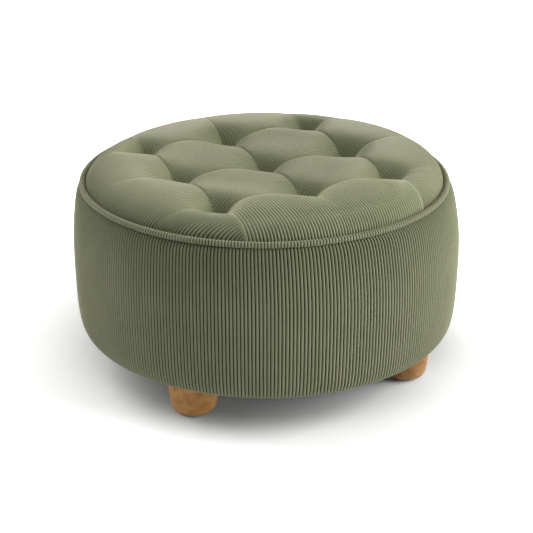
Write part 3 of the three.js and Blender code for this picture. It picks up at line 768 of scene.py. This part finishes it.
def on_seat(x, y, crest, level_opening, painted_light):
    """Places on the seat's face, set back into it at the grooves, with the ridge, the wear with painted shade
    and the painted light there.
    """
    way = seat_normal(x, y)
    cut = (1 - crest) * groove_opening(x, y, way[:, 2], level_opening)
    places = np.stack([x, y, seat_height(x, y)], -1) - way * (RIB_DEPTH * cut)[:, None]
    places[:, :2] += drift(x, y)
    return places, 1 - cut, pile_wear_and_shade(x, y), painted_light + painted_lip_highlight(x, y)


corner = np.array([TUFT_PITCH]), np.array([-TUFT_PITCH])
print("the right front tuft drifts by", (drift(*corner)[0] / MM).round(1), "mm")

# %% [markdown]
# Each panel is a counted grid over its part of the plan. Rows or columns follow the ribs, and along them
# the points crowd towards the lines of tufts, where the form turns most. A panel's edge is carried down
# past the seam and in over the board, and closed there, so that every panel is a solid of cloth and foam.

# %% Panel helpers
CELL_POINTS = 28
CELL_CROWDING = 0.7
BOARD_SHARE = 0.955
SKIRT = [  # share of the plan, and height
    (1, SEAM_HEIGHT - SEAM_DROP),
    (BOARD_SHARE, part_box("seat_foam")[0].z),
]
even = np.linspace(0, 1, CELL_POINTS + 1)
CELL_SHARES = even - CELL_CROWDING * np.sin(2 * math.pi * even) / (2 * math.pi)


def rim_reach(place):
    """How far the seat reaches to either side, at a place along the other axis."""
    return np.sqrt(np.maximum(0, SEAM_RADIUS ** 2 - place ** 2))


def closed_below(shape):
    """Carries a panel's edge past the seam and in to the board, closes it, and turns its faces outwards."""
    rim = [edge for edge in shape.edges if edge.is_boundary]
    for edge in rim:
        edge.smooth = False
    for share, height in SKIRT:
        made = bmesh.ops.extrude_edge_only(shape, edges=rim)["geom"]
        for vert in (part for part in made if isinstance(part, bmesh.types.BMVert)):
            vert.co = (vert.co.x * share, vert.co.y * share, height)
        rim = [part for part in made if isinstance(part, bmesh.types.BMEdge) and part.is_boundary]
    bmesh.ops.edgeloop_fill(shape, edges=rim)
    bmesh.ops.recalc_face_normals(shape, faces=shape.faces)
    return shape


print("points crowd along a rib as", CELL_SHARES[:4].round(3), "and so on")

# %% [markdown]
# The middle panel starts as a full band over the whole seat, and the faces that belong to the end panels
# are deleted. Their places on the plan decide that, from before the grid drifts, so that the panels fit
# exactly. On the level tops its grooves close further towards the right.

# %% Middle panel
MIDDLE_CELLS = 4
LEVEL_OPENING, RIGHT_OPENING = 0.17, 0.06


def middle_panel():
    """Ribs along X: four puffs wide at the middle rows, and only the corner puffs beyond."""
    shape, column, row = counted_grid(MIDDLE_CELLS * CELL_POINTS, len(row_lines) - 1)
    y, crest = row_lines[row], rib_height(row_marks[row])
    cell = np.minimum(column // CELL_POINTS, MIDDLE_CELLS - 1)
    share = CELL_SHARES[column - cell * CELL_POINTS]
    reach = rim_reach(y)
    lines = np.stack([-reach, -TUFT_PITCH + 0 * y, 0 * y, TUFT_PITCH + 0 * y, reach], 1)
    at = np.arange(len(y))
    x = lines[at, cell] + (lines[at, cell + 1] - lines[at, cell]) * share
    opening = LEVEL_OPENING + (RIGHT_OPENING - LEVEL_OPENING) * eased(x, TUFT_PITCH / 2, TUFT_PITCH)
    corners = np.array([[vert.index for vert in face.verts] for face in shape.faces])
    in_columns = np.abs(x[corners].mean(1)) < TUFT_PITCH
    beyond_rows = np.abs(y[corners].mean(1)) > TUFT_PITCH
    laid(shape, *on_seat(x, y, crest, opening, 0))
    spare = [face for face, left_out in zip(shape.faces, in_columns & beyond_rows) if left_out]
    bmesh.ops.delete(shape, geom=spare, context="FACES")
    merge_close(shape)
    return closed_below(shape)


middle = middle_panel()
print("faces of the middle panel:", len(middle.faces))

# %% [markdown]
# The two end panels are made alike. At the front the ribs stand well apart, except at the right end, and the
# puffs are painted paler, a little more towards the right, which is painted light. At the back the ribs
# nearly close.

# %% End panels
FRONT_OPENING, BACK_OPENING = 0.95, 0.05
FADE_FROM = 110 * MM
# painted light on the front puffs, rising towards the right
FRONT_PAINTED_LIGHT, FRONT_PAINTED_LIGHT_RISE = 0.56, 0.2


def end_panel(side, opening, painted_light, rise):
    """Ribs along Y: the two puffs at the front or the back. Their grooves close towards the right."""
    shape, column, row = counted_grid(len(column_lines) - 1, CELL_POINTS)
    x, crest = column_lines[column], rib_height(column_marks[column])
    y = side * (TUFT_PITCH + (rim_reach(x) - TUFT_PITCH) * CELL_SHARES[row])
    opening = opening * (1 - eased(x, FADE_FROM, TUFT_PITCH))
    laid(shape, *on_seat(x, y, crest, opening, painted_light + rise * x / TUFT_PITCH))
    return closed_below(shape)


front = end_panel(-1, FRONT_OPENING, FRONT_PAINTED_LIGHT, FRONT_PAINTED_LIGHT_RISE)
behind = end_panel(1, BACK_OPENING, 0, 0)
print("faces of the end panels:", len(front.faces), len(behind.faces))

# %% [markdown]
# The three panels become one piece, because they are sewn together over one filling.

# %% Seat


def joined(shapes):
    whole = shapes[0]
    for other in shapes[1:]:
        data = bpy.data.meshes.new("panel")
        other.to_mesh(data)
        other.free()
        whole.from_mesh(data)
        bpy.data.meshes.remove(data)
    return whole


seat = finished("seat_padding", joined([middle, front, behind]), CORDUROY)
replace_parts(seat, "top_cover", "seat_foam")

# %% [markdown]
# The piping is a cord in a folded strip of the same cloth. The strip is cut across the ribs, so each of
# them rings the cord. A curve with a round bevel would be smooth, so the piping is a tube rolled round the
# drum's axis, with its ribs square to its run.

# %% Piping
piping_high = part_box("piping_cover")[1]
PIPING_RADIUS = 5 * MM
PIPING_RING = piping_high.x - PIPING_RADIUS
PIPING_HEIGHT = piping_high.z - PIPING_RADIUS
PIPING_RIB_DEPTH, PIPING_RIB_PITCH = 0.7 * MM, 4.75 * MM
PIPING_SIDES = 16


def piping():
    ribs = round(2 * math.pi * PIPING_RING / PIPING_RIB_PITCH)
    marks = rib_marks(ribs)
    shape, column, row = counted_grid(len(marks) - 1, PIPING_SIDES)
    crest = rib_height(marks[column])
    angle = marks[column] * 2 * math.pi / ribs
    turn = row * 2 * math.pi / PIPING_SIDES
    thick = PIPING_RADIUS - PIPING_RIB_DEPTH * (1 - crest)
    radius = PIPING_RING + thick * np.cos(turn)
    height = PIPING_HEIGHT + thick * np.sin(turn)
    laid(shape, leaned(np.stack([radius * np.cos(angle), radius * np.sin(angle), height], 1)), crest)
    merge_close(shape)
    return finished("piping", shape, CORDUROY)


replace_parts(piping(), "piping_cover")

# %% [markdown]
# The filler cord lies inside the strip, which would be hollow without it. It is a plain round ring of waxed
# twine, leaned with the seam as its strip is.

# %% Piping cord
CORD_SIDES, CORD_STEPS = 12, 240
WAXED_TWINE = mottled("waxed_twine", dark=(0.55, 0.5, 0.39), pale=(0.76, 0.72, 0.6), scale=1500, rough=0.75,
                      stretch=(1, 1, 0.3))


def piping_cord():
    """The filler cord, which lies where its strip does."""
    low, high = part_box("piping_cord")
    thick = (high.z - low.z) / 2
    shape, column, row = counted_grid(CORD_STEPS, CORD_SIDES)
    angle, turn = column * 2 * math.pi / CORD_STEPS, row * 2 * math.pi / CORD_SIDES
    radius = high.x - thick + thick * np.cos(turn)
    height = low.z + thick + thick * np.sin(turn)
    places = np.stack([radius * np.cos(angle), radius * np.sin(angle), height], 1)
    laid(shape, leaned(places), np.ones_like(radius))
    merge_close(shape)
    return finished("piping_filler", shape, WAXED_TWINE)


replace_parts(piping_cord(), "piping_cord")

# %% [markdown]
# The wood of the feet is light brown and oiled. Its figure is broad and soft, with fine upright streaks, so
# two noises make it, one broad and one drawn out. Some feet are painted paler, which is painted light against
# the drum's shade on them, so each foot carries its share of it. The feet throw only a dull light on the
# floor, which keeps an orange glow off it.

# %% Wood finish
WOOD_TONES = [  # place on the figure's noise, and colour
    (0.3, (0.345, 0.153, 0.046)),
    (0.5, (0.494, 0.249, 0.083)),
    (0.68, (0.627, 0.363, 0.15)),
]
WOOD_ROUGH, WOOD_SPECULAR = 0.48, 0.35
FIGURE_CELLS, FIGURE_ROUGH, FIGURE_STRETCH = 60, 0.6, (0.55, 0.55, 0.8)
GRAIN_CELLS, GRAIN_STRETCH = 420, (1, 1, 0.12)
GRAIN_TINTS = (0.84, 0.82, 0.8), (1.12, 1.12, 1.14)
GRAIN_DEPTH, GRAIN_STRENGTH = 0.3 * MM, 0.5
# painted light: how much paler a foot in the drum's shade is made
FOOT_PAINTED_LIGHT = (1.654, 1.667, 1.557)
DULL_BOUNCE = (0.2, 0.175, 0.15)


def oiled_wood():
    """Reads each foot's painted light, from 0 for none to 1 for the full lift against the drum's shade."""
    material, tree, shader = finish_of("oiled_wood", rough=WOOD_ROUGH, specular=WOOD_SPECULAR)
    figure = noise(tree, FIGURE_CELLS, detail=5, stretch=FIGURE_STRETCH, rough=FIGURE_ROUGH)
    colour = ramp(tree, figure, WOOD_TONES)
    grain = noise(tree, GRAIN_CELLS, stretch=GRAIN_STRETCH)
    colour = tinted(tree, colour, grain, *GRAIN_TINTS)
    painted_foot_light = node(tree, "ShaderNodeAttribute", attribute_name="painted_foot_light")
    colour = tinted(tree, colour, painted_foot_light.outputs["Fac"], UNTINTED, FOOT_PAINTED_LIGHT)
    path = node(tree, "ShaderNodeLightPath")
    colour = mixed(tree, path.outputs["Is Diffuse Ray"], colour, DULL_BOUNCE)
    tree.links.new(colour, shader.inputs["Base Color"])
    bumped(tree, shader, grain, distance=GRAIN_DEPTH, strength=GRAIN_STRENGTH)
    return material


OILED_WOOD = oiled_wood()
print("wood nodes:", len(OILED_WOOD.node_tree.nodes))

# %% [markdown]
# The feet are short turned blocks, a little narrower below, with a rounded lower edge. A lathe turns such a
# block from its outline, and so does this: half an outline is spun once round the foot's own axis. Felt
# glides lie under the soles.

# %% Feet
SOLE_HEIGHT = 0.8 * MM
FOOT_LOW_RADIUS = 37 * MM
FOOT_EDGE, EDGE_STEPS = 14 * MM, 8
FOOT_CHAMFER = 1 * MM
FOOT_STEPS = 64
# share of painted light for each foot, against the drum's shade
FOOT_PAINTED_LIGHTS = {1: 0, 2: 0.5, 3: 1, 4: 0}


def spun(outline, centre, steps):
    """Spins an outline of radius and height pairs round an upright axis; its ends lie on that axis."""
    shape = bmesh.new()
    points = [shape.verts.new((radius, 0, height)) for radius, height in outline]
    edges = [shape.edges.new(pair) for pair in zip(points, points[1:])]
    bmesh.ops.spin(shape, geom=points + edges, cent=(0, 0, 0), axis=(0, 0, 1), angle=2 * math.pi,
                   steps=steps, use_merge=True)
    merge_close(shape)
    bmesh.ops.recalc_face_normals(shape, faces=shape.faces)
    bmesh.ops.translate(shape, verts=shape.verts, vec=centre)
    return shape


def foot_outline(top, top_radius):
    """From the middle of the sole, round the lower edge and up to the middle of the top."""
    rounded = [
        (FOOT_LOW_RADIUS - FOOT_EDGE * (1 - math.sin(turn)), SOLE_HEIGHT + FOOT_EDGE * (1 - math.cos(turn)))
        for turn in np.linspace(0, math.pi / 2, EDGE_STEPS + 1)
    ]
    chamfer = [(top_radius, top - FOOT_CHAMFER), (top_radius - FOOT_CHAMFER, top)]
    return [(0, SOLE_HEIGHT)] + rounded + chamfer + [(0, top)]


for number, own_painted_light in FOOT_PAINTED_LIGHTS.items():
    name = f"foot_{number}"
    low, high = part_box(name)
    centre = ((low.x + high.x) / 2, (low.y + high.y) / 2, 0)
    shape = spun(foot_outline(high.z, (high.x - low.x) / 2), centre, FOOT_STEPS)
    painted_foot_light = shape.verts.layers.float.new("painted_foot_light")
    for vert in shape.verts:
        vert[painted_foot_light] = own_painted_light
    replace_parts(finished(f"turned_{name}", shape, OILED_WOOD), name)

# %% [markdown]
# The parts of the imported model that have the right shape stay, and only get finishes. Most are seen from
# below or not at all: bare plywood with its layers at the edge, hardboard, zinc plated fixings, waxed
# twine, felt under the feet and a thin black cloth under the base. The record says which finish each part
# takes.

# %% Finishes of the kept parts
PLY_THICKNESS = 3 * MM
WAVE_LENGTH = 0.314  # from band to band of a wave texture whose scale is 1
GLUE_TINT, GLUE_WAVER = (0.62, 0.55, 0.48), 0.4


def layered(material, thickness):
    """Thin darker glue lines across the height of a board, which show on its edge."""
    tree = material.node_tree
    shader = tree.nodes["Principled BSDF"]
    where = node(tree, "ShaderNodeTexCoord")
    lines = node(tree, "ShaderNodeTexWave", bands_direction="Z")
    lines.inputs["Scale"].default_value = WAVE_LENGTH / thickness
    lines.inputs["Distortion"].default_value = GLUE_WAVER
    tree.links.new(where.outputs["Object"], lines.inputs["Vector"])
    plain = shader.inputs["Base Color"].links[0].from_socket
    colour = tinted(tree, plain, lines.outputs["Fac"], GLUE_TINT, UNTINTED)
    tree.links.new(colour, shader.inputs["Base Color"])
    return material


VENEER = mottled("plywood", dark=(0.5, 0.34, 0.17), pale=(0.7, 0.54, 0.33), scale=160, rough=0.7,
                 stretch=(0.06, 1, 1))
FINISHES = {
    "corduroy": CORDUROY,
    "oiled_wood": OILED_WOOD,
    "plywood": layered(VENEER, PLY_THICKNESS),
    "fibreboard": mottled("fibreboard", dark=(0.25, 0.14, 0.06), pale=(0.38, 0.24, 0.12), scale=700,
                          rough=0.8),
    "foam": mottled("foam", dark=(0.72, 0.64, 0.4), pale=(0.84, 0.78, 0.56), scale=500, rough=0.95,
                    depth=0.6 * MM),
    "zinc": mottled("zinc", dark=(0.44, 0.46, 0.47), pale=(0.58, 0.59, 0.58), scale=260, rough=0.38,
                    metal=1.0, depth=0.05 * MM),
    "twine": WAXED_TWINE,
    "felt": mottled("felt", dark=(0.04, 0.03, 0.024), pale=(0.12, 0.095, 0.078), scale=1300, rough=0.97,
                    depth=0.5 * MM),
    "dust_cloth": mottled("dust_cloth", dark=(0.008, 0.008, 0.009), pale=(0.024, 0.024, 0.026), scale=800,
                          rough=0.9, depth=0.3 * MM),
}
for subpart in frame["record"]["subparts"]:
    kept = frame["nodes"][subpart["node"]]
    kept.data.materials.clear()
    kept.data.materials.append(FINISHES[subpart["material_slot"]])
print("finishes:", ", ".join(FINISHES))

# %% [markdown]
# Underneath, staples hold the black cloth to the base board. Only the back of a staple shows, so one staple
# is a short bar with rounded edges, and copies of it stand in a ring a little inside the cloth's edge.

# %% Staples
STAPLE_COUNT = 44
STAPLE_INSET = 9 * MM
STAPLE_SIZE = (1.1 * MM, 11 * MM, 0.6 * MM)
STAPLE_ROUND = 0.15 * MM
cloth_low, cloth_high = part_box("dust_cover")


def staple_ring():
    shape = bmesh.new()
    for step in range(STAPLE_COUNT):
        bar = bmesh.ops.create_cube(shape, size=1)["verts"]
        bmesh.ops.scale(shape, verts=bar, vec=STAPLE_SIZE)
        bmesh.ops.translate(shape, verts=bar, vec=(cloth_high.x - STAPLE_INSET, 0, cloth_low.z))
        turn = Matrix.Rotation(2 * math.pi * step / STAPLE_COUNT, 3, "Z")
        bmesh.ops.rotate(shape, verts=bar, cent=(0, 0, 0), matrix=turn)
    bmesh.ops.bevel(shape, geom=shape.edges[:], offset=STAPLE_ROUND, segments=1, profile=0.5, affect="EDGES",
                    material=-1)
    return finished("staples", shape, FINISHES["zinc"], smooth=False)


staple_ring()
